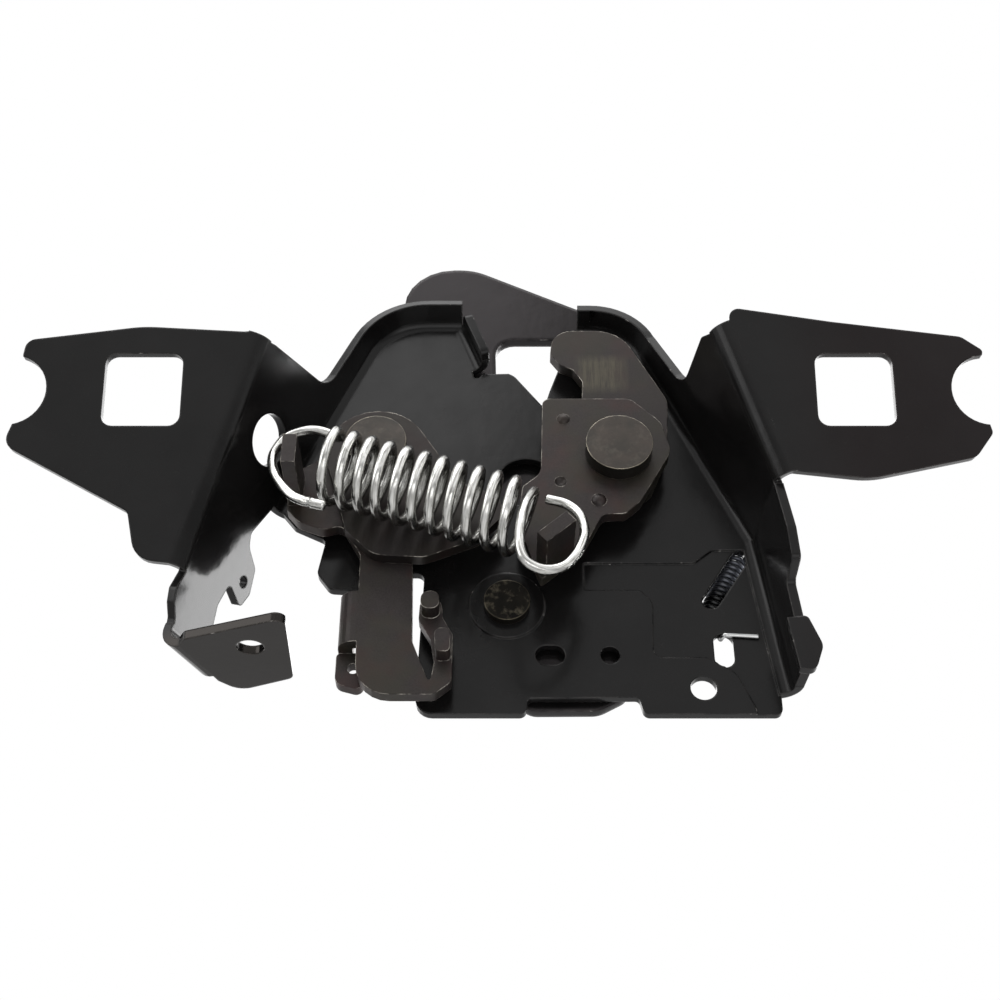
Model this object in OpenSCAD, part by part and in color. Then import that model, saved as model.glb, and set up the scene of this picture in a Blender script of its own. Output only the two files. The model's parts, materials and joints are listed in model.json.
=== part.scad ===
/* [Sheet] */
// Thickness of the stamped plate
sheet_t = 2; // [1.5:0.1:3]
// Inside radius of its bends
bend_r = 2.2; // [1:0.1:4]
// Lean of both side walls seen from the front, in degrees
fold_lean = 22.5; // [10:0.5:35]
// Outward lean of the left wall and flange
left_draft = 21; // [5:1:30]
// Outward lean of the right wall and flange
right_draft = 11; // [5:1:30]

/* [Top flanges] */
// Radius of the left shoulder
left_shoulder_r = 15; // [10:0.5:25]
// Radius of the right shoulder
right_shoulder_r = 12.7; // [8:0.1:25]
// Left shoulder centre, sideways from the striker seat
left_shoulder_x = -24; // [-40:0.5:-18]
// Left shoulder centre, height from the striker seat
left_shoulder_z = -2.3; // [-8:0.1:4]
// Right shoulder centre, sideways from the striker seat
right_shoulder_x = 14; // [12:0.5:25]
// Right shoulder centre, height from the striker seat
right_shoulder_z = -1.2; // [-8:0.1:4]
// Height of the flanges over the plate face
flange_h = 6; // [4:0.5:10]

/* [Wings] */
// Lean of the wings towards the front at the top
wing_tilt = 16; // [0:1:25]
// Distance of the wing face in front of the plate at seat height
wing_y = 33.9; // [20:0.1:45]
// Middle between the two wings
wing_mid_x = -7.5; // [-12:0.5:0]
// Side of the square windows
window_side = 16.5; // [12:0.5:20]
// Window distance from the middle
window_x = 75.3; // [65:0.1:85]
// Notch distance from the middle
notch_x = 103.6; // [95:0.1:115]
// Radius of the notches
notch_r = 8; // [5:0.5:10]
// Height of windows and notches on the wing
wing_row_z = -28.6; // [-40:0.1:-20]

/* [Plate face] */
// Lower edge of the plate under the seat
plate_bottom_z = -90.5; // [-100:0.5:-80]
// Diameter of the plain locating hole
locating_hole_d = 5.4; // [4:0.2:8]
// Diameter of the gauge hole
gauge_hole_d = 4; // [3:0.5:6]
// Diameter of the hole in the left wall
wall_hole_d = 11.5; // [6:0.5:14]
// Diameter of the hole in the foot
foot_hole_d = 5.6; // [4:0.2:8]
// Height of the foot under the seat
foot_z = -80; // [-90:0.5:-75]
// Width of the two spring slots
slot_w = 4.1; // [3:0.1:6]
// Height of the raised disc under the hook pivot
boss_h = 0.6; // [0.3:0.1:1.2]
// Depth of the sunk area round the spring slots
sunk_depth = 0.5; // [0.2:0.1:0.8]

/* [Catch] */
// Catch pivot, sideways from the seat
catch_x = 18.6; // [15:0.1:25]
// Catch pivot, height from the seat
catch_z = -31.5; // [-36:0.1:-28]
// Thickness of the catch and lever layers
layer_t = 3; // [2:0.5:4]
// Space between plate and first layer
standoff = 3; // [2:0.5:5]

/* [Release lever] */
// Lever pivot, sideways from the seat
lever_x = -34.2; // [-38:0.1:-30]
// Lever pivot, height from the seat
lever_z = -31; // [-36:0.1:-28]
// How far the spring tabs reach in front of the plate
tab_reach = 22; // [18:0.5:26]

/* [Rivets] */
// Head diameter of the catch rivet
catch_head_d = 14.5; // [11:0.5:16]
// Head diameter of the lever rivet
lever_head_d = 13.2; // [11:0.1:16]
// Head thickness of both
head_t = 3.9; // [2:0.1:5]
// Shank diameter of both
shank_d = 9; // [6:0.5:10]
// Head diameter of the hook rivet
hook_head_d = 9.7; // [8:0.1:13]
// Shank diameter of the hook rivet
hook_shank_d = 6; // [5:0.5:8]

/* [Main spring] */
// Wire diameter
wire_d = 2.1; // [1.2:0.1:2.5]
// Coil outside diameter
coil_d = 17; // [12:0.5:20]
// Number of full turns
coil_turns = 11; // [8:1:16]
// Distance of the coil axis in front of the plate
coil_y = 19; // [17:0.5:24]

/* [Safety hook] */
// Hook pivot, sideways from the seat
hook_x = -5.8; // [-10:0.1:0]
// Hook pivot, height from the seat
hook_z = -65.1; // [-70:0.1:-60]
// Thickness of the hook
hook_t = 2.5; // [2:0.5:4]

/* [Return spring] */
// Wire diameter
return_wire_d = 1; // [0.6:0.1:1.6]
// Coil outside diameter
return_coil_d = 5.4; // [3:0.1:6]
// Number of full turns
return_turns = 13.5; // [6.5:1:16.5]

/* [Fits] */
// Radial clearance of each pivot
pivot_play = 0.05; // [0.02:0.01:0.1]
// Play along each pivot
end_play = 0.1; // [0.05:0.05:0.3]

/* [Hidden] */
$fn = 48;
catch_at = [catch_x, catch_z];
lever_at = [lever_x, lever_z];
hook_at = [hook_x, hook_z];
rear_y = -standoff - layer_t;
front_y = rear_y - layer_t;
head_y = front_y - end_play - head_t;
hook_y = sheet_t + 1;
hook_back_y = hook_y + hook_t;
coil_r = (coil_d - wire_d) / 2;

// Corner rounding: each point is x, height and radius
function unit(v) = v / norm(v);
function turn_left(v) = [-v.y, v.x];
function corner(a, p, b, r, n = 6) =
    let (u = unit([a.x - p.x, a.y - p.y]))
    let (v = unit([b.x - p.x, b.y - p.y]))
    let (half = acos(max(-1, min(1, u * v))) / 2)
    let (c = [p.x, p.y] + unit(u + v) * r / sin(half))
    let (s = (u.x * v.y - u.y * v.x) > 0 ? 1 : -1)
    let (from = s > 0 ? -turn_left(u) : turn_left(u))
    let (start = atan2(from.y, from.x))
    [for (i = [0 : n]) c + r * [cos(start - s * i * (180 - 2 * half) / n),
                                sin(start - s * i * (180 - 2 * half) / n)]];
function rounded(pts) = let (n = len(pts))
    [for (i = [0 : n - 1]) let (p = pts[i])
        each p[2] == 0 ? [[p.x, p.y]]
            : corner(pts[(i + n - 1) % n], p, pts[(i + 1) % n], p[2])];

// Outline in sideways and height, from a front face to the back
module slab(front, t) {
    translate([0, front + t, 0])
        rotate([90, 0, 0])
            linear_extrude(t)
                children();
}
module pin(at, d, front, back) {
    translate([at.x, back, at.y])
        rotate([90, 0, 0])
            cylinder(d = d, h = back - front);
}
module shape(pts) {
    polygon(rounded(pts));
}
module obround(a, b, d) {
    v = b - a;
    translate(a)
        rotate(atan2(v.y, v.x)) {
            circle(d = d);
            translate([0, -d / 2])
                square([norm(v), d]);
            translate([norm(v), 0])
                circle(d = d);
        }
}

// A frame with its first two directions given
module on(at, e, f) {
    g = cross(e, f);
    multmatrix([[e.x, f.x, g.x, at.x],
                [e.y, f.y, g.y, at.y],
                [e.z, f.z, g.z, at.z],
                [0, 0, 0, 1]])
        children();
}
function bend_set(angle) = bend_r / tan(angle / 2);
bend_lap = 0.6;
skin = 0.01;
seam = 0.1;
// Bend between two sheets whose inside faces meet at this angle, with a lap into each sheet
module bend_profile(angle, lap, flange, skin) {
    set = bend_set(angle);
    c = [set, bend_r];
    e = [cos(angle), sin(angle)];
    n = turn_left(e);
    steps = [for (i = [0 : 8]) 270 - (180 - angle) * i / 8];
    polygon(concat(
        [[set + lap, -sheet_t + skin]],
        [for (a = steps) c + (bend_r + sheet_t - skin) * [cos(a), sin(a)]],
        [e * (set + flange) + n * (sheet_t - skin), e * (set + flange) + n * skin],
        [for (i = [8 : -1 : 0]) c + (bend_r + skin) * [cos(steps[i]), sin(steps[i])]],
        [[set + lap, -skin]]));
}

// Side walls: along the fold, up the wall, and out of it
function along(side) = [side * sin(fold_lean), 0, -cos(fold_lean)];
function out(side) = [side * cos(fold_lean), 0, sin(fold_lean)];
function up(side, draft) = [0, -cos(draft), 0] + out(side) * sin(draft);
function away(side, draft) = out(side) * cos(draft) + [0, sin(draft), 0];
left_fold = [left_shoulder_x - left_shoulder_r * cos(fold_lean), 0,
             left_shoulder_z + left_shoulder_r * sin(fold_lean)];
right_fold = [right_shoulder_x + right_shoulder_r * cos(fold_lean), 0,
              right_shoulder_z + right_shoulder_r * sin(fold_lean)];
wing_front = [0, -cos(wing_tilt), -sin(wing_tilt)];
wing_up = [0, -sin(wing_tilt), cos(wing_tilt)];
wing_at = [wing_mid_x, -wing_y, 0];
// Height on the wall where the backs of wall and wing meet
function meet(at, side, draft, s) =
    let (p = at + along(side) * s + away(side, draft) * sheet_t)
    (-sheet_t - (p - wing_at) * wing_front) / (up(side, draft) * wing_front);
function meet_point(at, side, draft, s) =
    at + along(side) * s + away(side, draft) * sheet_t
        + up(side, draft) * meet(at, side, draft, s);
function on_wing(p) = [p.x - wing_mid_x, (p - wing_at) * wing_up];
function wall_angle(at, side, draft) =
    let (f = meet_dir(at, side, draft))
    acos(unit(cross(f, away(side, draft))) * side
        * unit(cross(f, wing_front)) * -side);
function meet_dir(at, side, draft) =
    unit(meet_point(at, side, draft, 60) - meet_point(at, side, draft, 20));

left_meet = [for (s = [24.5, 76]) meet_point(left_fold, -1, left_draft, s)];
right_meet = [for (s = [20, 55]) meet_point(right_fold, 1, right_draft, s)];

module wall_frame(at, side, draft) {
    on(at, along(side), up(side, draft))
        children();
}
// Bend from wall to wing between two points on the inside corner
module wing_bend(ends, side, draft) {
    f = unit(ends[1] - ends[0]);
    down = unit(cross(f, away(side, draft))) * side;
    flat = unit(cross(f, wing_front)) * side;
    e = down * [0, 1, 0] > 0 ? down : -down;
    w = flat.x * side > 0 ? flat : -flat;
    angle = acos(e * w);
    y = unit(w - e * (e * w));
    on(cross(e, y) * f > 0 ? ends[0] : ends[1], e, y)
        linear_extrude(norm(ends[1] - ends[0]))
            bend_profile(angle, bend_lap, bend_lap, skin);
}
function wing_set(side, draft, ends) =
    let (f = unit(ends[1] - ends[0]))
    let (e = unit(cross(f, away(side, draft))))
    let (w = unit(cross(f, wing_front)))
    let (c = e * w * (e.y > 0 ? 1 : -1) * (w.x * side > 0 ? 1 : -1))
    bend_set(acos(c));
left_set = wing_set(-1, left_draft, left_meet);
right_set = wing_set(1, right_draft, right_meet);
// The wall edge under the wing bend, and the wing edge beside it
function wall_line(at, side, draft, s, set) =
    let (k = meet(at, side, draft, 1) - meet(at, side, draft, 0))
    [s, meet(at, side, draft, s) - set * sqrt(1 + k * k)];
function wing_line(ends, side, i, set) =
    let (a = on_wing(ends[0]))
    let (b = on_wing(ends[1]))
    let (n = turn_left(unit(b - a)))
    on_wing(ends[i]) + n * set * (n.x * side > 0 ? 1 : -1);

// Striker slot in the plate
lip_at = [-16.55, 0, 13];
lip_lean = 20;
lip_draft = 4;
lip_from = 0.9;
lip_len = 14.2;
lip_h = 5;
lip_along = [sin(lip_lean), 0, -cos(lip_lean)];
lip_out = [cos(lip_lean), 0, sin(lip_lean)];
lip_up = [0, -cos(lip_draft), 0] + lip_out * sin(lip_draft);
lip_set = bend_set(90 + lip_draft);
function lip_edge(s) = flat(lip_at + lip_along * s - lip_out * (lip_set + seam));
slot = [lip_edge(-10), lip_edge(lip_len), [-13.3, -3, 0.3], [-12.2, -3, 0.3], [-10.8, -1.2, 1.5],
        [-7, -0.9, 2.5], [-4, -2.4, 4], [2.9, -12, 0.6], [4.2, -7.2, 6], [6.6, 0, 8], [11, 13, 0],
        [11, 30, 0], [-22, 30, 0]];
panel_set_left = bend_set(90 + left_draft);
panel_set_right = bend_set(90 + right_draft);
left_foot_s = 48;
right_knee_s = 57;
knee = right_fold + along(1) * right_knee_s;
knee_lean = 7;
knee_along = [sin(knee_lean), 0, -cos(knee_lean)];
knee_out = [cos(knee_lean), 0, sin(knee_lean)];
knee_draft = 8;
knee_set = bend_set(90 + knee_draft);
knee_up = [0, -cos(knee_draft), 0] + knee_out * sin(knee_draft);
knee_len = 37;
function flat(v) = [v.x, v.z, 0];
function inset_left(s) = flat(left_fold + along(-1) * s - out(-1) * (panel_set_left + seam));
function inset_right(s) = flat(right_fold + along(1) * s - out(1) * (panel_set_right + seam));
knee_end = flat(knee + knee_along * knee_len - knee_out * (knee_set + seam));
left_round = left_shoulder_r - panel_set_left - seam;
right_round = right_shoulder_r - panel_set_right - seam;

sunk_area = [[10.6, -54.3, 0.5], [34.4, -54.3, 2], [38.5, -51, 2], [60, -51, 0], [60, -100, 0],
             [45.4, -100, 0], [44.6, -89, 6], [41.2, -81, 4], [35.5, -77.4, 3], [24.4, -77.4, 2],
             [25, -64, 3], [22.5, -61.1, 1.5], [10.6, -61.1, 0.5]];
module plate_outline() {
    difference() {
        union() {
            shape([[left_shoulder_x, left_shoulder_z, 0], inset_left(0), inset_left(left_foot_s),
                   [-52, -45, 2], [-45, -48.5, 1.5], [-46.4, -57, 2], [-43.5, -61, 2],
                   [-30, -62, 3], [-29, -57, 2], [-23.4, -57, 1.5], [-24.6, plate_bottom_z, 3.5],
                   [-2, plate_bottom_z, 1.5], [-1.6, plate_bottom_z + 3.6, 1],
                   [21, plate_bottom_z + 3.8, 1], [22, plate_bottom_z, 1.5],
                   [50, plate_bottom_z, 1.5], knee_end, inset_right(right_knee_s), inset_right(0),
                   [right_shoulder_x, right_shoulder_z, 0]]);
            translate([left_shoulder_x, left_shoulder_z])
                circle(left_round - 2 * skin);
            translate([left_shoulder_x, left_shoulder_z])
                square([11.5, left_round]);
            translate([right_shoulder_x, right_shoulder_z])
                circle(right_round - 2 * skin);
            translate([10, -4])
                square([right_shoulder_x - 10,
                        right_shoulder_z + 4 + right_round]);
        }
        shape(slot);
        translate([-1.3, -33])
            circle(6.5);
        obround([37.4, -63.6], [44.4, -52.8], slot_w - 0.4);
        obround([39.2, -73.6], [39.2, -77.5], slot_w);
        obround([2.3, -76.9], [3.9, -76.9], 4.6);
        translate([15.5, -76.9])
            circle(d = gauge_hole_d);
        translate([34.3, -84.6])
            circle(d = locating_hole_d);
        translate(catch_at)
            circle(d = shank_d);
        translate(lever_at)
            circle(d = shank_d);
        translate(hook_at)
            circle(d = hook_shank_d);
    }
}
module top_flange(at, r, draft, from, to, end_x) {
    rise = flange_h - bend_set(90 + draft) - 2 * skin;
    side = end_x > at.x ? 1 : -1;
    lap = 0.3 / r * 180 / PI;
    translate([at.x, 0, at.y])
        rotate([90, 0, 0])
            rotate([0, 0, from - lap])
                rotate_extrude(angle = to - from + 2 * lap)
                    translate([r, 0])
                        mirror([1, 0])
                            bend_profile(90 + draft, bend_lap, rise, 2 * skin);
    on([side > 0 ? end_x : at.x, 0, at.y + r], [0, 0, -1], [0, -1, 0])
        linear_extrude(abs(end_x - at.x))
            bend_profile(90 + draft, bend_lap, rise, skin);
}
module side_bend(at, d, o, draft, from, to) {
    e = -o;
    f = [0, -1, 0];
    on(at + d * (cross(e, f) * d > 0 ? from : to), e, f)
        linear_extrude(to - from)
            bend_profile(90 + draft, bend_lap, bend_lap, skin);
}
module left_wall() {
    a = wall_line(left_fold, -1, left_draft, 24.5, left_set);
    b = wall_line(left_fold, -1, left_draft, 76, left_set);
    wall_frame(left_fold, -1, left_draft)
        difference() {
            linear_extrude(sheet_t)
                difference() {
                    shape([[0, panel_set_left + seam, 0], [0, flange_h, 0], [16.6, 6.6, 6],
                           [23.5, 27, 2], [a.x, a.y, 0], [b.x, b.y, 0], [80, 13.6, 1],
                           [82.5, 12, 2], [84.5, 9.5, 1.5], foot_wall(8.5), foot_wall(-5), [80, -2, 3],
                           [74.5, 0.8, 2], [69, 1, 1], [70.6, -5.4, 1], [66.5, -6, 2],
                           [61.5, -3.5, 2], [59.5, 1.6, 3], [57, 3.4, 2],
                           [left_foot_s, panel_set_left + seam, 0]]);
                    translate([39, 13.5])
                        circle(d = wall_hole_d);
                    translate([66, -2.2])
                        circle(d = 2.6);
                }
        }
}
module left_wing() {
    a = wing_line(left_meet, -1, 0, left_set);
    b = wing_line(left_meet, -1, 1, left_set);
    translate(wing_at)
        rotate([90 + wing_tilt, 0, 0])
            translate([0, 0, -sheet_t])
                linear_extrude(sheet_t)
                    difference() {
                        shape([[a.x, a.y, 0], [-54.5, -15.2, 2], [-window_x - 0.7, -14, 30],
                               [2.8 - notch_x, -17.2, 2.5], [2.4 - notch_x, -20.5, 0.5],
                               [2.6 - notch_x, wing_row_z, 0], [1.6 - notch_x, -36.4, 0.5],
                               [-notch_x, -41, 3], [-76.4, -55.8, 2], [-74.3, -66, 5], [b.x, b.y, 0]]);
                        wing_cuts(-1);
                    }
}
module wing_cuts(side) {
    translate([side * notch_x, wing_row_z])
        circle(notch_r);
    c = window_side / 2;
    translate([side * window_x, wing_row_z])
        shape([[-c, -c, 2.4], [c, -c, 2.4], [c, c, 2.4], [-c, c, 2.4]]);
}
module right_wing() {
    a = wing_line(right_meet, 1, 0, right_set);
    b = wing_line(right_meet, 1, 1, right_set);
    translate(wing_at)
        rotate([90 + wing_tilt, 0, 0])
            translate([0, 0, -sheet_t])
                linear_extrude(sheet_t)
                    difference() {
                        shape([[b.x, b.y, 0], [window_x + 1.7, -48.6, 20], [notch_x - 4.1, -43.8, 3],
                               [notch_x - 0.2, -38.5, 1.5], [notch_x - 2.6, wing_row_z, 0],
                               [notch_x - 0.6, -19.6, 1], [notch_x - 5, -16.4, 3],
                               [window_x - 4.1, -12.9, 30],
                               [a.x, a.y + 3, 2], [a.x, a.y, 0]]);
                        wing_cuts(1);
                    }
}
module right_wall() {
    a = wall_line(right_fold, 1, right_draft, 20, right_set);
    b = wall_line(right_fold, 1, right_draft, 55, right_set);
    wall_frame(right_fold, 1, right_draft)
        translate([0, 0, -sheet_t])
            linear_extrude(sheet_t)
                shape([[0, panel_set_right + seam, 0], [0, flange_h, 0], [17.8, 8.4, 4.5],
                       [17.6, 24, 2], [a.x, a.y, 0], [b.x, b.y, 0], [58.6, 15.9, 1],
                       [58.2, panel_set_right + seam, 0]]);
}
module knee_wall() {
    on(knee, knee_along, knee_up)
        translate([0, 0, -sheet_t])
            linear_extrude(sheet_t)
                shape([[-1.6, knee_set + 0.2, 0], [-2.3, 18.6, 0], [9, 19, 3], [15.5, 17.5, 2],
                       [17.5, 11.5, 2], [25, 11, 0], [knee_len - 1, 10.4, 3],
                       [knee_len, knee_set + seam, 0]]);
}
// Small tab on the lower right, bent out from the wall edge
module knee_tab() {
    at = knee + knee_along * 25.5 + knee_up * 11;
    on(at, knee_along, knee_out)
        translate([0, 0, -sheet_t + 0.5])
            linear_extrude(sheet_t)
                shape([[0.3, -1.6, 0], [0.3, 2.6, 1.2], [7.5, 4.2, 3], [13, 1.4, 2], [12, -1.6, 0]]);
}
// Foot: turned in from the lower end of the left wall
foot_top = foot_z + sheet_t;
foot_slope = up(-1, left_draft).z / cos(fold_lean);
function foot_s(q) = (left_fold.z - foot_top) / cos(fold_lean) + foot_slope * q;
function foot_point(q) = left_fold + along(-1) * foot_s(q) + up(-1, left_draft) * q;
foot_fold = [foot_point(8.5), foot_point(-5)];
foot_rise = unit(up(-1, left_draft) * foot_slope - along(-1));
foot_way = unit(cross(foot_fold[1] - foot_fold[0], [0, 0, 1]));
foot_set = bend_set(acos(foot_rise * foot_way));
function foot_wall(q) = [foot_s(q) - foot_set * sqrt(1 + foot_slope * foot_slope), q, 0];
function foot_edge(i) = let (p = foot_fold[i] + foot_way * foot_set) [p.x, p.y, 0];
module foot() {
    translate([0, 0, foot_z])
        linear_extrude(sheet_t)
            difference() {
                shape([foot_edge(0), [-70.4, -11.8, 1.5], [-49.4, -20, 2], [-50.2, 4.2, 2],
                       [-62, 9.6, 4], [-66, 5.4, 1], foot_edge(1)]);
                translate([-57.5, -8.6])
                    circle(d = foot_hole_d);
            }
    y = unit(foot_way - foot_rise * (foot_rise * foot_way));
    turned = cross(foot_rise, y) * (foot_fold[1] - foot_fold[0]) > 0;
    on(turned ? foot_fold[0] : foot_fold[1], foot_rise, y)
        linear_extrude(norm(foot_fold[1] - foot_fold[0]))
            bend_profile(acos(foot_rise * foot_way), bend_lap, bend_lap, skin);
}
// Lip along the left edge of the striker slot
module slot_lip() {
    on(lip_at, lip_along, lip_up)
        translate([0, 0, -sheet_t])
            linear_extrude(sheet_t)
                shape([[lip_from, lip_set + seam, 0], [lip_from, lip_h, 1.2], [lip_len - 1, lip_h, 1.5],
                       [lip_len, lip_set + seam, 0]]);
}
module lock_plate() {
    color("black") {
        difference() {
            slab(0, sheet_t)
                plate_outline();
            slab(-1, 1 + sunk_depth)
                shape(sunk_area);
        }
        side_bend(lip_at, lip_along, lip_out, lip_draft, lip_from + 0.1, lip_len - 0.1);
        slot_lip();
        difference() {
            slab(-boss_h, boss_h + 0.2)
                translate(hook_at)
                    circle(r = 8);
            pin(hook_at, hook_shank_d, -2, 3);
        }
        top_flange([left_shoulder_x, left_shoulder_z], left_shoulder_r, left_draft,
                   90, 180 - fold_lean, -16.2);
        top_flange([right_shoulder_x, right_shoulder_z], right_shoulder_r, right_draft,
                   fold_lean, 90, 11);
        side_bend(left_fold, along(-1), out(-1), left_draft, 1.5 * seam, left_foot_s - 0.02);
        side_bend(right_fold, along(1), out(1), right_draft, 1.5 * seam, right_knee_s + 0.2);
        side_bend(knee, knee_along, knee_out, knee_draft, -0.2, knee_len - 0.02);
        left_wall();
        wing_bend(left_meet, -1, left_draft);
        left_wing();
        foot();
        right_wall();
        wing_bend(right_meet, 1, right_draft);
        right_wing();
        knee_wall();
        knee_tab();
    }
}

module catch_claw() {
    color("dimgray")
        slab(rear_y, layer_t)
            difference() {
                shape([[4.3, -0.8, 0.8], [5, 6.2, 5], [20.4, 6.2, 9], [30.6, -14.5, 6], [29.6, -30, 8],
                       [25, -41, 4], [12, -42, 3], [8, -30, 4], [7.6, -17, 1], [11.2, -14.6, 1.5],
                       [11.6, -9, 3], [9.4, -5.5, 1.2], [6.4, -4, 2]]);
                translate(catch_at)
                    circle(d = shank_d + 2 * pivot_play);
            }
}
catch_tab_at = [4.2, -59.6];
catch_tab_w = 8;
catch_tab_turn = 41.5;
module catch_arm_plate() {
    color("gray") {
        difference() {
            union() {
                slab(front_y, layer_t)
                    shape([[2.2, -16.4, 1.8], [21.8, -16.4, 3], [28.4, -23, 6], [30.2, -31, 6],
                           [22.8, -44.4, 6], [19.4, -47.6, 2], [14.6, -47.7, 2],
                           [10.15, -56.4, 1], [1.2, -64.2, 0.5], [-3.6, -50, 4], [-2.4, -40.5, 1],
                           [1.6, -37, 4]]);
                catch_tab();
                dimple([6.8, -22.2], 1.7);
                dimple([13.9, -44.1], 1.9);
            }
            pin(catch_at, shank_d + 2 * pivot_play, front_y - 1, rear_y + 1);
            translate([5.8, front_y - 0.9, -39.2])
                sphere(1.6);
        }
    }
}
module catch_tab() {
    translate([catch_tab_at.x, 0, catch_tab_at.y])
        rotate([0, -catch_tab_turn, 0])
            translate([-catch_tab_w / 2, -tab_reach, -layer_t / 2])
                cube([catch_tab_w, tab_reach + front_y + 0.5, layer_t]);
}
module dimple(at, r) {
    translate([at.x, front_y, at.y])
        intersection() {
            translate([0, 0.9, 0])
                sphere(r);
            translate([-3, -3, -3])
                cube([6, 3.5, 6]);
        }
}
module pivot_rivet(at, head_d) {
    pin(at, head_d, head_y, front_y - end_play);
    pin(at, shank_d, front_y - end_play - 0.5, sheet_t + 0.2);
    pin(at, head_d - 2, sheet_t, sheet_t + 1.4);
}
module spacer(at, d) {
    difference() {
        pin(at, d, -standoff + end_play, 0);
        pin(at, shank_d, -standoff - 1, 1);
    }
}
module catch_rivet() {
    color("silver")
        pivot_rivet(catch_at, catch_head_d);
}
module catch_washer() {
    color("silver")
        spacer(catch_at, 15);
}
module lever_rivet() {
    color("silver")
        pivot_rivet(lever_at, lever_head_d);
}
module lever_washer() {
    color("silver")
        spacer(lever_at, 14);
}

pawl_r = 11;
module pawl_plate() {
    color("gray")
        slab(front_y, layer_t)
            difference() {
                shape([[lever_at.x - pawl_r, lever_at.y + pawl_r, pawl_r - 0.1],
                       [lever_at.x + pawl_r - 4.8, lever_at.y + pawl_r, pawl_r - 0.1],
                       [-16, -39.5, 4], [-7.5, -43, 1], [-6.5, -48, 1], [-12, -54, 4], [-23, -58.6, 5],
                       [-34, -58, 6], [-40, -51.6, 3], [lever_at.x - pawl_r, lever_at.y - 2, 12]]);
                translate(lever_at)
                    circle(d = shank_d + 2 * pivot_play);
            }
}
module release_lever() {
    color("gray") {
        slab(rear_y, layer_t)
            difference() {
                union() {
                    translate(lever_at)
                        circle(9.5);
                    shape([[-40.5, -24.5, 2], [-27.8, -24.5, 2], [-25.6, -60, 3], [-25.2, -77, 3],
                           [-21.4, -87, 0.4], [-20.6, -82, 1], [-21.4, -76.6, 1.5], [-24, -72, 1.5],
                           [-23.8, -67.2, 1.8], [-19.4, -67.2, 1.8], [-19, -71.6, 1.5], [-16.9, -75.6, 1.5],
                           [-17, -86.4, 2], [-20.5, -89.2, 2], [-36.4, -89.2, 7], [-36.8, -56, 3],
                           [-41, -48.6, 2], [-45, -49.8, 4], [-50.6, -47.6, 4],
                           [-53.2, -44.4, 1], [-53.2, -35.2, 1], [-48, -32, 3]]);
                }
                translate(lever_at)
                    circle(d = shank_d + 2 * pivot_play);
            }
        translate([-52.9, -tab_reach, -43.4])
            cube([layer_t, tab_reach + rear_y + 0.5, 7.2]);
        fork_lug([[-23.6, -71.6, 1.6], [-23.4, -67.5, 1.7], [-19.7, -67.5, 1.7], [-19.7, -71.6, 1.6]]);
        fork_lug([[-20.3, -81.6, 1], [-20.6, -76.2, 1.4], [-17.3, -76.2, 1.4], [-17.3, -81.6, 1]]);
        left_lug();
    }
}
// Rounded lug of the fork, standing in front of the lever
fork_h = 4;
module fork_lug(pts) {
    slab(rear_y - fork_h, fork_h + 0.5)
        shape(pts);
}
// Lug on the left of the cable arm, bent back past the plate
module left_lug() {
    translate([0, 0, -77])
        linear_extrude(12)
            shape([[-35.5, rear_y, 0], [-40.6, rear_y, 3.6], [-40.6, 2, 0], [-37.6, 2, 0],
                   [-37.6, rear_y + layer_t, 0.6], [-35.5, rear_y + layer_t, 0]]);
    slab(-0.9, 2.9)
        difference() {
            shape([[-41, -77, 1], [-36.2, -77, 0], [-34, -82, 1.5], [-36, -85.4, 1.5], [-41, -84, 2]]);
            translate([-37.4, -80.6])
                circle(d = 2.4);
        }
}

// Wire along a path of points, its section carried on without twist
function tangent(path, i) =
    unit(path[min(i + 1, len(path) - 1)] - path[max(i - 1, 0)]);
function square_to(v, t) = unit(v - t * (v * t));
module wire(path, d, first, sides = 6) {
    n = len(path);
    normals = [for (i = 0, v = square_to(first, tangent(path, 0)); i < n;
                    i = i + 1, v = square_to(v, tangent(path, min(i, n - 1)))) v];
    pts = [for (i = [0 : n - 1]) let (m = cross(tangent(path, i), normals[i]))
        each [for (k = [0 : sides - 1]) path[i]
            + (normals[i] * cos(k * 360 / sides) + m * sin(k * 360 / sides)) * d / 2]];
    skin = [for (i = [0 : n - 2]) for (k = [0 : sides - 1])
        let (a = i * sides + k)
        let (b = i * sides + (k + 1) % sides)
        each [[a, a + sides, b], [b, a + sides, b + sides]]];
    caps = [[for (k = [0 : sides - 1]) k],
            [for (k = [sides - 1 : -1 : 0]) (n - 1) * sides + k]];
    polyhedron(pts, concat(skin, caps));
}
// Helix from one end of its axis to the other, starting on a given side
function helix(from, to, r, turns, e, start, steps = 16) =
    let (c = unit(to - from))
    let (f = cross(c, e))
    [for (i = [0 : turns * steps]) from + (to - from) * i / (turns * steps)
        + r * (e * cos(start + i * 360 / steps) + f * sin(start + i * 360 / steps))];
function loop(at, r, from, to, n = 14) =
    [for (i = [0 : n]) let (a = from + (to - from) * i / n) at + r * [cos(a), 0, sin(a)]];
front = [0, -1, 0];
coil_from = [-43.5, -coil_y, -42];
coil_to = [-2.5, -coil_y, -55.9];
left_hook = [[-43.1, -23, -55.2], [-46.4, -22.5, -54], [-49.8, -21.5, -51.8], [-52.6, -20.5, -48],
             [-54.5, -19.5, -43.9], [-55.2, -18.5, -40.2], [-54.7, -18, -37.2], [-52.6, -18, -34],
             [-49, -18.5, -32.8], [-45.5, -19, -33.2]];
right_ring = [[-2, -24, -55], [-3, -26, -60.5], [-3.4, -26.6, -65], [-3.2, -26.6, -68.4], [-1.8, -26, -71],
              [1.6, -24.5, -71.6], [5.4, -23, -69.8], [8.1, -21.5, -65.8], [9.6, -20.5, -61.5],
              [9.8, -19.7, -58], [8.8, -19, -54.4], [6.4, -18.5, -51.8], [2.6, -18, -50.2]];
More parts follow.
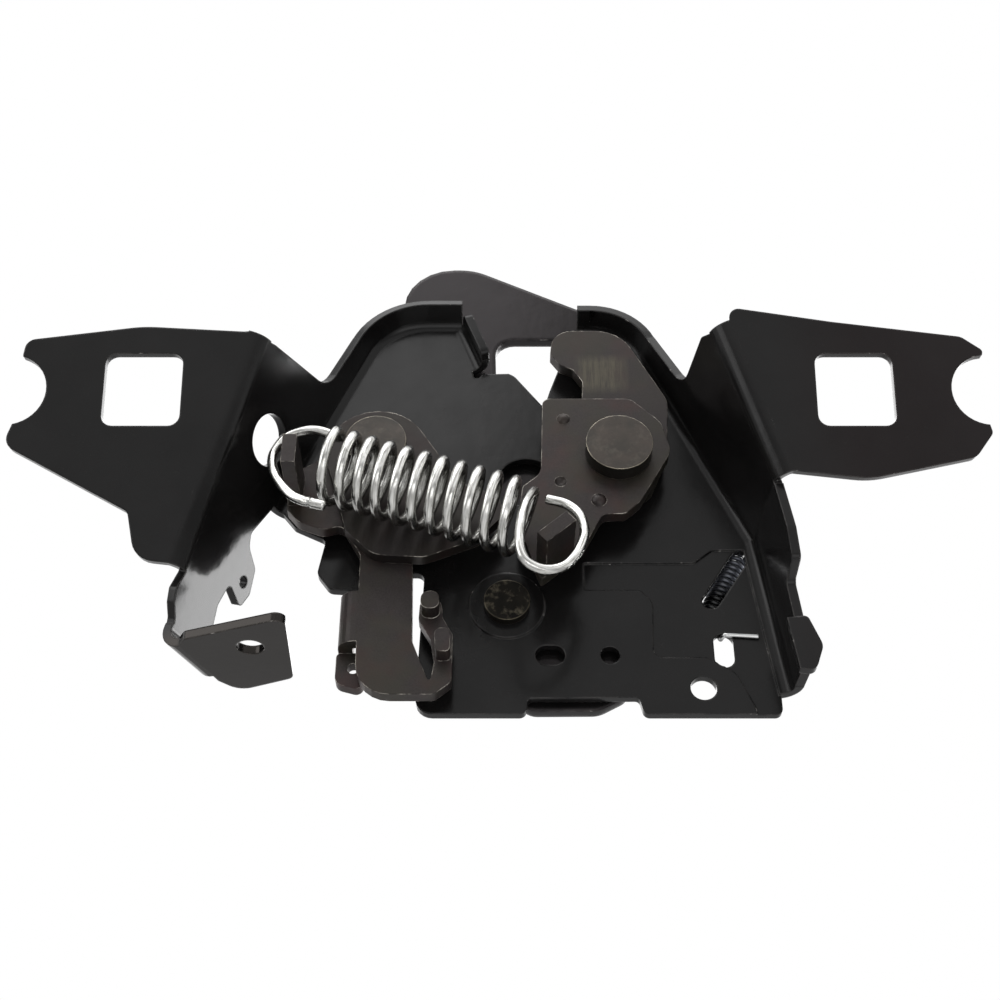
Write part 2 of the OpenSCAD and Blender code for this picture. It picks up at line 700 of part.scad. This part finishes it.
module main_spring() {
    color("white")
        wire(concat(left_hook, helix(coil_from, coil_to, coil_r, coil_turns, front, 270), right_ring),
             wire_d, front);
}

// Eye in the arm of the hook for the return spring
hook_eye_at = [47.6, -41];
module safety_hook() {
    color("black")
        slab(hook_y, hook_t)
            difference() {
                shape([[-30.5, 15, 8], [-30.5, 33.9, 12], [-13.75, 33.9, 14], [16, 18.5, 3],
                       [15, 11.2, 2], [-8.4, 11.2, 4.5], [-8, -12, 6], [7, -26, 6], [7.5, -44, 6],
                       [6, -53.5, 4], [40, -40, 3], [50, -37, 2.5], [50.5, -43, 2.5], [22, -58, 8],
                       [19, -85, 3], [13, -88.3, 6], [-2, -88.4, 4], [-14, -66, 8], [-20, -30, 20],
                       [-22, -6, 12]]);
                translate(hook_at)
                    circle(d = hook_shank_d + 2 * pivot_play);
                translate(hook_eye_at)
                    circle(d = 2.4);
            }
}
module hook_rivet() {
    color("silver") {
        pin(hook_at, hook_head_d, -boss_h - 2, -boss_h);
        pin(hook_at, hook_shank_d, -boss_h - 1, hook_back_y + end_play + 0.5);
        pin(hook_at, hook_head_d, hook_back_y + end_play, hook_back_y + end_play + 1.6);
    }
}
module hook_washer() {
    color("silver")
        difference() {
            pin(hook_at, 13, sheet_t, hook_y - end_play);
            pin(hook_at, hook_shank_d, 0, hook_y + 1);
        }
}
return_r = (return_coil_d - return_wire_d) / 2;
return_y = sheet_t + 0.3 + return_coil_d / 2;
return_from = [37.4, return_y, -65];
return_to = [45, return_y, -49.6];
return_end_z = -72.15;
return_face_y = sunk_depth - return_wire_d / 2 - 0.05;
return_back_y = hook_back_y + return_wire_d / 2 + 0.2;
module return_spring() {
    color("silver")
        wire(concat([[46.5, return_face_y, return_end_z - 0.4], [40.2, return_face_y, return_end_z],
                     [39.4, return_face_y + 0.3, return_end_z], [39.1, 1.2, return_end_z],
                     [38.9, return_y - return_r - 0.3, return_end_z + 0.5],
                     [38.3, return_y - return_r, return_end_z + 2.6],
                     [37.7, return_y - return_r, -66.4]],
                    helix(return_from, return_to, return_r, return_turns, front, 0, 12),
                    [[46, return_y + return_r - 0.3, -47], [47, return_back_y + 0.3, -43.6],
                     [47.4, return_back_y, -42.1], [hook_eye_at.x, return_back_y - 0.3, hook_eye_at.y - 0.2],
                     [hook_eye_at.x, hook_y + 0.7, hook_eye_at.y]]),
             return_wire_d, [0, 0, 1]);
}

lock_plate();
catch_claw();
catch_arm_plate();
catch_rivet();
catch_washer();
pawl_plate();
release_lever();
lever_rivet();
lever_washer();
main_spring();
safety_hook();
hook_rivet();
hook_washer();
return_spring();
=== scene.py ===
"""Bonnet latch: finishes for the stamped plate, the laminated catch and lever, and wound springs."""
import json
import math

import bpy
import numpy as np
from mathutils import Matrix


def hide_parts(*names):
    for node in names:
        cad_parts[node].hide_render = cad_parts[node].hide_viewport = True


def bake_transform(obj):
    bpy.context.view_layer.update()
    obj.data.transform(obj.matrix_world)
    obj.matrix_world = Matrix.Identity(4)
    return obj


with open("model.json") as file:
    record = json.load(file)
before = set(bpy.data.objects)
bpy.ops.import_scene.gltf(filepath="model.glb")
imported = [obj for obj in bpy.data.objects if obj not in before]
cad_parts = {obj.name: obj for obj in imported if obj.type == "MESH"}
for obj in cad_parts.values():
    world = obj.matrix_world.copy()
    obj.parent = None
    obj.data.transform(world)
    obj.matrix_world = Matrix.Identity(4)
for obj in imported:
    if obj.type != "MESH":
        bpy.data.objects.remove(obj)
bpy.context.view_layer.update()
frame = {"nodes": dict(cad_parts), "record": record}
nodes = frame["nodes"]
MM = 0.001


# Node helpers
def new_material(name):
    """A material with an empty node tree, its output and one principled shader."""
    material = bpy.data.materials.new(name)
    material.use_nodes = True
    tree = material.node_tree
    tree.nodes.clear()
    out = tree.nodes.new("ShaderNodeOutputMaterial")
    shader = tree.nodes.new("ShaderNodeBsdfPrincipled")
    tree.links.new(shader.outputs["BSDF"], out.inputs["Surface"])
    return material, tree, shader


def fill_socket(tree, socket, value):
    """A socket linked to a value that is a node's output, or set to a plain value."""
    if hasattr(value, "is_linked"):
        tree.links.new(value, socket)
    else:
        socket.default_value = value


def add(tree, kind, sockets=None, **settings):
    """A node of a kind, its settings given by name and its sockets by a table of values or links."""
    node = tree.nodes.new(kind)
    for key, value in settings.items():
        setattr(node, key, value)
    for key, value in (sockets or {}).items():
        fill_socket(tree, node.inputs[key], value)
    return node


def places(tree):
    """Object coordinates, which are metres in the frame of the part."""
    return add(tree, "ShaderNodeTexCoord").outputs["Object"]


def part_of(tree, vector, axis):
    """One coordinate of a vector."""
    return add(tree, "ShaderNodeSeparateXYZ", {"Vector": vector}).outputs[axis]


def size_of(tree, value):
    """A value without its sign."""
    return add(tree, "ShaderNodeMath", {0: value}, operation="ABSOLUTE").outputs["Value"]


def grain(tree, at, size, detail=3.0, rough=0.55):
    """Cloudy noise whose grains are about size millimetres across."""
    node = add(tree, "ShaderNodeTexNoise", {"Vector": at, "Scale": 1.0 / (size * MM), "Detail": detail,
                                            "Roughness": rough})
    return node.outputs["Fac"]


def ramp(tree, value, low, high, to_low=0.0, to_high=1.0):
    """Straight ramp of a value between two limits, clamped."""
    node = add(tree, "ShaderNodeMapRange", {"Value": value, "From Min": low, "From Max": high,
                                            "To Min": to_low, "To Max": to_high})
    node.clamp = True
    return node.outputs["Result"]


def mixed(tree, amount, one, two):
    """Colour one fading to colour two by an amount."""
    node = add(tree, "ShaderNodeMix", data_type="RGBA")
    for index, value in ((0, amount), (6, one), (7, two)):
        fill_socket(tree, node.inputs[index], value)
    return node.outputs[2]


def sums(tree, operation, one, two):
    """Arithmetic on two values, clamped to the range from nought to one."""
    node = add(tree, "ShaderNodeMath", {0: one, 1: two}, operation=operation)
    node.use_clamp = True
    return node.outputs["Value"]


def times(tree, one, two):
    """Product of two values."""
    return sums(tree, "MULTIPLY", one, two)


def edges(tree, radius):
    """Nought on flat metal and rising on sharp edges, with the normal rounded over a radius.

    The rise is how far that rounded normal leaves the true one.
    """
    soft = add(tree, "ShaderNodeBevel", {"Radius": radius * MM}, samples=6).outputs["Normal"]
    true = add(tree, "ShaderNodeNewGeometry").outputs["Normal"]
    dot = add(tree, "ShaderNodeVectorMath", {0: soft, 1: true}, operation="DOT_PRODUCT")
    return ramp(tree, dot.outputs["Value"], 0.985, 0.86), soft


def bumps(tree, heights, normal):
    """Bump layers over a normal: each is a height value and its depth in millimetres."""
    for height, depth in heights:
        node = add(tree, "ShaderNodeBump", {"Height": height, "Distance": depth * MM, "Strength": 1.0,
                                            "Normal": normal})
        normal = node.outputs["Normal"]
    return normal


def feed(tree, shader, **values):
    """The shader's sockets linked or set, each by its name with underscores for spaces."""
    for name, value in values.items():
        fill_socket(tree, shader.inputs[name.replace("_", " ")], value)


# Finishes
def black_coat(name, edge, sheen, plate=False):
    """Dipped black coating: orange peel, soft clouds, dust, and rubbed, chipped edges rounded over a radius.

    On the plate the gloss also changes from place to place: warmer on the right wing, brighter and browner on
    the foot, and smoother on the left wall.
    """
    material, tree, shader = new_material(name)
    at = places(tree)
    worn, rounded = edges(tree, edge)
    corner, _ = edges(tree, 0.4)
    cloud = ramp(tree, grain(tree, at, 22, 4), 0.35, 0.68)
    speck = ramp(tree, grain(tree, at, 0.9, 2), 0.66, 0.82, 0, 0.3)
    rub = times(tree, worn, ramp(tree, grain(tree, at, 5, 4), 0.42, 0.62))
    chip = times(tree, corner, ramp(tree, grain(tree, at, 1.8, 3), 0.63, 0.69))
    base = mixed(tree, cloud, (0.0046, 0.0044, 0.0044, 1), (0.0080, 0.0076, 0.0076, 1))
    base = mixed(tree, speck, base, (0.018, 0.0172, 0.017, 1))
    base = mixed(tree, rub, base, (0.048, 0.045, 0.043, 1))
    base = mixed(tree, chip, base, (0.30, 0.285, 0.27, 1))
    haze = ramp(tree, grain(tree, at, 9, 5), 0.3, 0.7, 0.15, 0.25)
    gloss = 0.22
    if plate:
        across, height = part_of(tree, at, "X"), part_of(tree, at, "Z")
        right_wing = ramp(tree, across, 50 * MM, 68 * MM)
        wall = times(tree, ramp(tree, across, -46 * MM, -50 * MM), ramp(tree, across, -74 * MM, -70 * MM))
        wall = times(tree, wall, ramp(tree, height, -46 * MM, -56 * MM))
        foot = times(tree, ramp(tree, across, -42 * MM, -45 * MM), ramp(tree, height, -75 * MM, -78 * MM))
        haze = times(tree, haze, ramp(tree, wall, 0, 1, 1, 0.45))
        sheen = mixed(tree, right_wing, sheen, (1, 0.86, 0.87, 1))
        sheen = mixed(tree, foot, sheen, (1, 0.90, 0.82, 1))
        gloss = ramp(tree, foot, 0, 1, gloss, 0.29)
    peel = [(grain(tree, at, 1.6, 2, 0.4), 0.012), (grain(tree, at, 7, 2), 0.05)]
    feed(tree, shader, Base_Color=base, Roughness=haze, Specular_Tint=sheen, Specular_IOR_Level=gloss,
         Normal=bumps(tree, peel, rounded))
    return material


def phosphate(name, patch=None, darkening=0.0):
    """Dark oiled phosphate on cut steel: purple brown crystals, rusty and olive clouds, bright rubbed edges.

    patch gives the middle and half widths, in millimetres, of a place polished by the striker. It fades out
    at its border and carries fine upright streaks. The last argument is how far the steel is darkened to near
    black.
    """
    material, tree, shader = new_material(name)
    at = places(tree)
    worn, rounded = edges(tree, 0.32)
    crystal = grain(tree, at, 0.35, 3)
    blush = ramp(tree, grain(tree, at, 8, 3), 0.46, 0.66)
    moss = ramp(tree, grain(tree, at, 11, 2), 0.44, 0.62)
    rub = times(tree, worn, ramp(tree, grain(tree, at, 2.6, 4), 0.44, 0.62))
    speckle = ramp(tree, crystal, 0.3, 0.7)
    base = mixed(tree, speckle, (0.0105, 0.0085, 0.0084, 1), (0.0205, 0.0168, 0.0165, 1))
    base = mixed(tree, times(tree, blush, 0.6), base, (0.030, 0.0130, 0.0112, 1))
    base = mixed(tree, times(tree, moss, 0.6), base, (0.018, 0.0176, 0.0105, 1))
    if darkening:
        base = mixed(tree, darkening, base, (0.003, 0.0026, 0.0022, 1))
    if patch:
        x, z, wide, tall = patch
        drawn = add(tree, "ShaderNodeMapping", {"Vector": at, "Scale": (1.0, 1.0, 0.12)}).outputs["Vector"]
        polish = ramp(tree, grain(tree, drawn, 0.7, 3), 0.38, 0.62, 0.35, 1.0)
        for axis, middle, half in (("X", x, wide), ("Z", z, tall)):
            place = part_of(tree, at, axis)
            off = add(tree, "ShaderNodeMath", {0: place, 1: middle * MM}, operation="SUBTRACT")
            off = size_of(tree, off.outputs["Value"])
            polish = times(tree, polish, ramp(tree, off, half * MM, 0.55 * half * MM))
        base = mixed(tree, polish, base, (0.050, 0.045, 0.030, 1))
    base = mixed(tree, rub, base, (0.46, 0.43, 0.38, 1))
    haze = ramp(tree, grain(tree, at, 3, 5), 0.3, 0.7, 0.34, 0.5)
    bare = sums(tree, "ADD", 0.3, times(tree, rub, 0.6))
    rough = [(crystal, 0.014), (grain(tree, at, 2.5, 3), 0.03)]
    feed(tree, shader, Base_Color=base, Roughness=haze, Metallic=bare, Specular_IOR_Level=0.42,
         Specular_Tint=(1, 0.93, 0.91, 1), Normal=bumps(tree, rough, rounded))
    return material


def rivet_steel(name, low, high, rim, flecks, gloss):
    """Pressed rivet: olive brown bloom between two colours, flecks, painted shade on the sides of the head
    and a rim rubbed bright.
    """
    material, tree, shader = new_material(name)
    at = places(tree)
    worn, rounded = edges(tree, 0.35)
    front = size_of(tree, part_of(tree, add(tree, "ShaderNodeNewGeometry").outputs["Normal"], "Y"))
    fleck = ramp(tree, grain(tree, at, 2.4, 5, 0.65), 0.52, 0.74, 0, flecks)
    rub = times(tree, worn, ramp(tree, grain(tree, at, 2.5, 3), 0.32, 0.55))
    base = mixed(tree, ramp(tree, grain(tree, at, 5, 4), 0.35, 0.65), low, high)
    base = mixed(tree, fleck, base, rim)
    # Painted shade: faces that do not look along Y, the sides of the head, are darkened to near black.
    base = mixed(tree, ramp(tree, front, 0.75, 0.35), base, (0.008, 0.007, 0.0055, 1))
    base = mixed(tree, rub, base, rim)
    haze = ramp(tree, grain(tree, at, 2, 4), 0.3, 0.7, 0.32, 0.46)
    bare = sums(tree, "ADD", 0.4, times(tree, rub, 0.5))
    rough = [(grain(tree, at, 0.5, 3), 0.012), (grain(tree, at, 4, 2), 0.05)]
    feed(tree, shader, Base_Color=base, Roughness=haze, Metallic=bare, Specular_IOR_Level=gloss,
         Normal=bumps(tree, rough, rounded))
    return material


def zinc():
    """Bright zinc over drawn wire: streaks along the wire, flecks, and painted shade on the undersides and on
    the strands at the back of the coil.
    """
    material, tree, shader = new_material("zinc")
    at = places(tree)
    wire = add(tree, "ShaderNodeTexCoord").outputs["UV"]
    drawn = add(tree, "ShaderNodeMapping", {"Vector": wire, "Scale": (0.09, 1.0, 1.0)}).outputs["Vector"]
    streak = add(tree, "ShaderNodeTexNoise", {"Vector": drawn, "Scale": 2.6, "Detail": 4.0}).outputs["Fac"]
    normal = add(tree, "ShaderNodeNewGeometry").outputs["Normal"]
    fleck = ramp(tree, grain(tree, at, 0.6, 3), 0.58, 0.72)
    # Painted shade: faces turned down, and the strands behind the coil's axis, are darkened.
    below = ramp(tree, part_of(tree, normal, "Z"), -0.1, -0.8, 0, 0.4)
    darkening = sums(tree, "MAXIMUM", below, ramp(tree, part_of(tree, at, "Y"), -21 * MM, -15 * MM, 0, 0.5))
    base = mixed(tree, ramp(tree, streak, 0.36, 0.62), (0.40, 0.397, 0.375, 1), (0.90, 0.895, 0.87, 1))
    base = mixed(tree, times(tree, fleck, 0.45), base, (0.20, 0.19, 0.16, 1))
    base = mixed(tree, darkening, base, (0.085, 0.083, 0.075, 1))
    haze = ramp(tree, grain(tree, at, 1.2, 4), 0.3, 0.7, 0.12, 0.26)
    rough = [(streak, 0.05), (grain(tree, at, 0.5, 3), 0.015)]
    feed(tree, shader, Base_Color=base, Roughness=haze, Metallic=1.0, Normal=bumps(tree, rough, normal))
    return material


def shaded_wire():
    """Zinc wire, bright in front of the plate, with painted shade behind it: dulled to blue grey, and black
    low in the slot.
    """
    material, tree, shader = new_material("shaded_wire")
    at = places(tree)
    depth, height = part_of(tree, at, "Y"), part_of(tree, at, "Z")
    cloud = grain(tree, at, 1.5, 3)
    in_front = mixed(tree, cloud, (0.44, 0.445, 0.445, 1), (0.58, 0.585, 0.58, 1))
    # Painted shade: blue grey where the wire lies behind the plate, going to near black low in the slot.
    painted_shade = mixed(tree, cloud, (0.060, 0.064, 0.078, 1), (0.120, 0.125, 0.145, 1))
    painted_shade = mixed(tree, ramp(tree, height, -57 * MM, -61 * MM), painted_shade, (0.004, 0.004, 0.0045, 1))
    base = mixed(tree, ramp(tree, depth, 0.5 * MM, 2.5 * MM), in_front, painted_shade)
    haze = ramp(tree, depth, 0.5 * MM, 2.5 * MM, 0.16, 0.45)
    feed(tree, shader, Base_Color=base, Roughness=haze, Metallic=1.0)
    return material


finish = {
    "black_coat": black_coat("black_coat", 0.55, (1, 1, 1, 1), plate=True),
    "phosphate": phosphate("phosphate"),
    "zinc": zinc(),
    "rivet_steel": rivet_steel("rivet_steel", (0.022, 0.0184, 0.0142, 1), (0.040, 0.0304, 0.0238, 1),
                               rim=(0.42, 0.38, 0.30, 1), flecks=0.06, gloss=0.5)}
own_finish = {
    "safety_hook": black_coat("hook_coat", 1.3, (1, 0.91, 0.94, 1)),
    "catch_claw": phosphate("rubbed_claw", patch=(16, -6.7, 6.5, 6), darkening=0.3),
    # Pawl plate: darkened for old grease and for painted shade, where it lies behind the main spring.
    "pawl_plate": phosphate("greased_shaded_pawl", darkening=0.55),
    "hook_rivet": rivet_steel("coated_rivet", (0.004, 0.0036, 0.003, 1), (0.012, 0.0102, 0.0075, 1),
                              rim=(0.16, 0.14, 0.10, 1), flecks=0.7, gloss=0.15)}
for part in frame["record"]["subparts"]:
    node = nodes[part["node"]]
    node.data.materials.clear()
    node.data.materials.append(own_finish.get(part["node"], finish[part["material_slot"]]))


# Wound wire
def unit_rows(rows):
    """Each row divided by its length."""
    return rows / np.linalg.norm(rows, axis=1)[:, None]


def run_along(points):
    """Length of the path up to each of its points."""
    return np.concatenate([[0], np.cumsum(np.linalg.norm(np.diff(points, axis=0), axis=1))])


def smooth_path(points, count, steps=24):
    """Evenly spaced points along a Catmull-Rom curve: each span is the cubic through its four neighbours."""
    p = np.vstack([2 * points[0] - points[1], points, 2 * points[-1] - points[-2]])
    t = np.linspace(0, 1, steps, endpoint=False)[None, :, None]
    a, b, c, d = p[:-3, None], p[1:-2, None], p[2:-1, None], p[3:, None]
    square, cube = 2 * a - 5 * b + 4 * c - d, 3 * b - a - 3 * c + d
    dense = 0.5 * (2 * b + (c - a) * t + square * t ** 2 + cube * t ** 3)
    dense = np.vstack([dense.reshape(-1, 3), points[-1:]])
    length = run_along(dense)
    even = np.linspace(0, length[-1], count)
    return np.stack([np.interp(even, length, dense[:, k]) for k in range(3)], axis=1)


def coil(start, end, radius, turns, begin, count):
    """Helix round the line from start to end: a circle of that radius turned as it moves along the line."""
    axis = (end - start) / np.linalg.norm(end - start)
    side = np.array([0.0, -1.0, 0.0])
    up = np.cross(axis, side)
    s = np.linspace(0, 1, count)[:, None]
    angle = math.radians(begin) + 2 * math.pi * turns * s
    return start + (end - start) * s + radius * (side * np.cos(angle) + up * np.sin(angle))


def leaning(path, start, end, margin, fade, aside):
    """A direction per point: the coil's axis within its length, fading to another one in the end loops."""
    length = np.linalg.norm(end - start)
    axis = (end - start) / length
    along = (path - start) @ axis / length
    inside = np.clip(np.minimum(along + margin, 1 + margin - along) / fade, 0, 1)[:, None]
    return inside * axis + (1 - inside) * np.array(aside)


def round_wire(name, path, diameter, lean, sides=14, dome=5):
    """Tube: a circle square to the path at each point, with ends whose radius falls as a quarter circle.

    lean is a direction per point that is never along the wire; the circle's first axis is that direction made
    square to the wire. The ends bulge by half the wire's radius. The UV map is millimetres along and round.
    """
    tangent = unit_rows(np.gradient(path, axis=0))
    first = unit_rows(lean - tangent * np.sum(lean * tangent, axis=1)[:, None])
    second = np.cross(tangent, first)
    turn = np.linspace(0, 2 * math.pi, sides, endpoint=False)[None, :, None]
    ring = np.cos(turn) * first[:, None] + np.sin(turn) * second[:, None]
    fall = np.linspace(0, math.pi / 2, dome)[1:-1, None, None]
    r = diameter / 2
    bulge = 0.5 * r
    head = path[0] - bulge * np.sin(fall[::-1]) * tangent[0] + r * np.cos(fall[::-1]) * ring[0]
    tail = path[-1] + bulge * np.sin(fall) * tangent[-1] + r * np.cos(fall) * ring[-1]
    rows = np.concatenate([head, path[:, None] + r * ring, tail])
    points = np.vstack([rows.reshape(-1, 3), path[0] - bulge * tangent[0], path[-1] + bulge * tangent[-1]])
    m = len(rows)
    k = np.arange(sides)
    after = (k + 1) % sides
    last = (m - 1) * sides
    first_cap = np.stack([np.full(sides, m * sides), after, k], axis=1)
    last_cap = np.stack([np.full(sides, m * sides + 1), last + k, last + after], axis=1)
    i, k = (index.ravel() for index in np.meshgrid(np.arange(m - 1), k, indexing="ij"))
    a, b = i * sides + k, i * sides + (k + 1) % sides
    quads = np.stack([a, b, b + sides, a + sides], axis=1)
    mesh = bpy.data.meshes.new(name)
    mesh.from_pydata(points.tolist(), [], quads.tolist() + first_cap.tolist() + last_cap.tolist())
    mesh.polygons.foreach_set("use_smooth", np.ones(len(mesh.polygons), bool))
    run = run_along(rows[:, 0]) / MM
    girth = math.pi * diameter / sides / MM
    wall = np.stack([run[i], k, run[i], k + 1, run[i + 1], k + 1, run[i + 1], k], axis=1).reshape(-1, 2)
    caps = np.stack([np.repeat(run[[0, -1]], 3 * sides), np.tile(np.repeat(np.arange(sides), 3), 2)], axis=1)
    drawn = mesh.uv_layers.new(name="drawn")
    drawn.data.foreach_set("uv", (np.vstack([wall, caps]) * [1, girth]).astype(np.float32).ravel())
    mesh.update()
    piece = bpy.data.objects.new(name, mesh)
    bpy.context.scene.collection.objects.link(piece)
    return piece


# Main spring, in millimetres as in the part's source: three turns go with the lever, the rest with the catch
coil_start, coil_end = np.array([-43.5, -19, -42]), np.array([-2.5, -19, -55.9])
wire_d, coil_d = 2.1, 17
turns, lever_turns, turn_steps, first_angle = 11, 3, 12, 270
wound = coil(coil_start, coil_end, (coil_d - wire_d) / 2, turns, first_angle, turns * turn_steps + 1)
left_hook = np.array([[-43.1, -23, -55.2], [-46.4, -22.5, -54], [-49.8, -21.5, -51.8], [-52.6, -20.5, -48],
                      [-54.5, -19.5, -43.9], [-55.2, -18.5, -40.2], [-54.7, -18, -37.2], [-52.6, -18, -34],
                      [-49, -18.5, -32.8], [-45.5, -19, -33.2]])
right_ring = np.array([[-2, -24, -55], [-3, -26, -60.5], [-3.4, -26.6, -65], [-3.2, -26.6, -68.4],
                       [-1.8, -26, -71], [1.6, -24.5, -71.6], [5.4, -23, -69.8], [8.1, -21.5, -65.8],
                       [9.6, -20.5, -61.5], [9.8, -19.7, -58], [8.8, -19, -54.4], [6.4, -18.5, -51.8],
                       [2.6, -18, -50.2]])


def spring_end(name, points, count):
    """One end of the main spring: a smooth wire through the points."""
    path = smooth_path(points, count)
    lean = leaning(path, coil_start, coil_end, margin=0.02, fade=0.06, aside=(0.0, -1.0, 0.0))
    piece = round_wire(name, path * MM, wire_d * MM, lean)
    piece.data.materials.append(finish["zinc"])
    return piece


split = lever_turns * turn_steps
lever_end = spring_end("main_spring_left", np.vstack([left_hook, wound[:split + 1]]), count=270)
catch_end = spring_end("main_spring_right", np.vstack([wound[split:], right_ring]), count=620)
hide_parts("main_spring")
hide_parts("main_spring")
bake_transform(lever_end)
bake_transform(catch_end)

# Return spring behind the plate, its tail lying on the front face and its tip in the eye of the hook
return_d, return_r, return_turns, return_steps = 1.0, 2.2, 13.5, 16
return_start, return_end = np.array([37.4, 5.0, -65.0]), np.array([45.0, 5.0, -49.6])
tail = np.array([[46.5, -0.05, -72.55], [40.2, -0.05, -72.15], [39.4, 0.25, -72.15], [39.1, 1.2, -72.15],
                 [38.9, 2.5, -71.65], [38.3, 2.8, -69.55], [37.7, 2.8, -66.4]])
tip = np.array([[46.0, 6.9, -47.0], [47.0, 6.5, -43.6], [47.4, 6.2, -42.1], [47.6, 5.9, -41.2],
                [47.6, 3.7, -41.0]])
small = coil(return_start, return_end, return_r, return_turns, 0, int(return_turns * return_steps) + 1)
return_path = smooth_path(np.vstack([tail, small, tip]), count=620)
return_lean = leaning(return_path, return_start, return_end, margin=0.05, fade=0.08, aside=(0.75, 0.1, 0.65))
return_spring = round_wire("return_spring_wire", return_path * MM, return_d * MM, return_lean, sides=10)
return_spring.data.materials.append(shaded_wire())
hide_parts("return_spring")
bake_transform(return_spring)


# Studio
def area_lamp(name, at, to, size, power):
    """Soft rectangular lamp at a place, facing a point."""
    lamp = bpy.data.lights.new(name, "AREA")
    lamp.shape = "RECTANGLE"
    lamp.size, lamp.size_y = size
    lamp.energy = power
    obj = bpy.data.objects.new(name, lamp)
    bpy.context.scene.collection.objects.link(obj)
    obj.location = at
    way = np.array(to, float) - np.array(at, float)
    way = way / np.linalg.norm(way)
    obj.rotation_euler = (math.acos(-way[2]), 0, math.atan2(way[1], way[0]) - math.pi / 2)


area_lamp("front_softbox", at=(-0.24, -0.60, 0.68), to=(0, 0, -0.03), size=(0.6, 0.5), power=1.7)
area_lamp("top_softbox", at=(0.0, -0.28, 0.90), to=(0, 0, -0.03), size=(0.9, 0.6), power=3.2)
area_lamp("left_softbox", at=(-0.8, -0.5, 0.15), to=(0, 0, -0.03), size=(0.5, 0.7), power=2.2)
area_lamp("under_softbox", at=(0.15, -0.55, -0.40), to=(0, 0, -0.03), size=(0.7, 0.3), power=0.9)
area_lamp("back_softbox", at=(0.1, 0.7, 0.5), to=(0, 0, 0), size=(0.8, 0.6), power=3.0)
area_lamp("right_strip", at=(0.85, 0.40, 0.03), to=(0, 0, -0.05), size=(0.45, 0.56), power=9.5)


def floor_finish():
    """Matt pale floor with the faintest mottling."""
    material, tree, shader = new_material("pale_floor")
    cloud = grain(tree, places(tree), 60, 2)
    base = mixed(tree, cloud, (0.80, 0.80, 0.80, 1), (0.84, 0.84, 0.84, 1))
    feed(tree, shader, Base_Color=base, Roughness=0.9)
    return material


def pale_floor(half, height):
    """Flat square of a half width at a height, well under the part and under the camera."""
    x, y = np.meshgrid([-half, half], [-half, half])
    corners = np.stack([x.ravel(), y.ravel(), np.full(4, height)], axis=1)
    mesh = bpy.data.meshes.new("pale_floor")
    mesh.from_pydata(corners.tolist(), [], [(0, 1, 3, 2)])
    mesh.materials.append(floor_finish())
    floor = bpy.data.objects.new("pale_floor", mesh)
    bpy.context.scene.collection.objects.link(floor)


def white_room():
    """World that is plain white to the camera and in reflections, and a weaker fill as light."""
    world = bpy.data.worlds.new("white_room")
    bpy.context.scene.world = world
    world.use_nodes = True
    tree = world.node_tree
    tree.nodes.clear()
    rays = add(tree, "ShaderNodeLightPath").outputs
    seen = sums(tree, "MAXIMUM", rays["Is Camera Ray"],
                sums(tree, "MAXIMUM", rays["Is Glossy Ray"], rays["Is Transmission Ray"]))
    white = add(tree, "ShaderNodeBackground", {"Color": (1, 1, 1, 1), "Strength": 1.0})
    fill = add(tree, "ShaderNodeBackground", {"Color": (1, 1, 1, 1), "Strength": 0.6})
    choice = add(tree, "ShaderNodeMixShader", {0: seen, 1: fill.outputs[0], 2: white.outputs[0]})
    add(tree, "ShaderNodeOutputWorld", {"Surface": choice.outputs[0]})


pale_floor(half=12, height=-0.75)
white_room()

# Camera at the photograph's angle, looking up from 35 degrees below
camera_place, camera_tilt = (-0.00727, -0.2867, -0.23854), math.radians(90 + 35)
focal_length, sensor_width = 57.06, 36
lens = bpy.data.cameras.new("photo_camera")
lens.lens, lens.sensor_width = focal_length, sensor_width
camera = bpy.data.objects.new("photo_camera", lens)
bpy.context.scene.collection.objects.link(camera)
camera.location = camera_place
camera.rotation_euler = (camera_tilt, 0, 0)
bpy.context.scene.camera = camera
bpy.context.scene.view_settings.view_transform = "Standard"
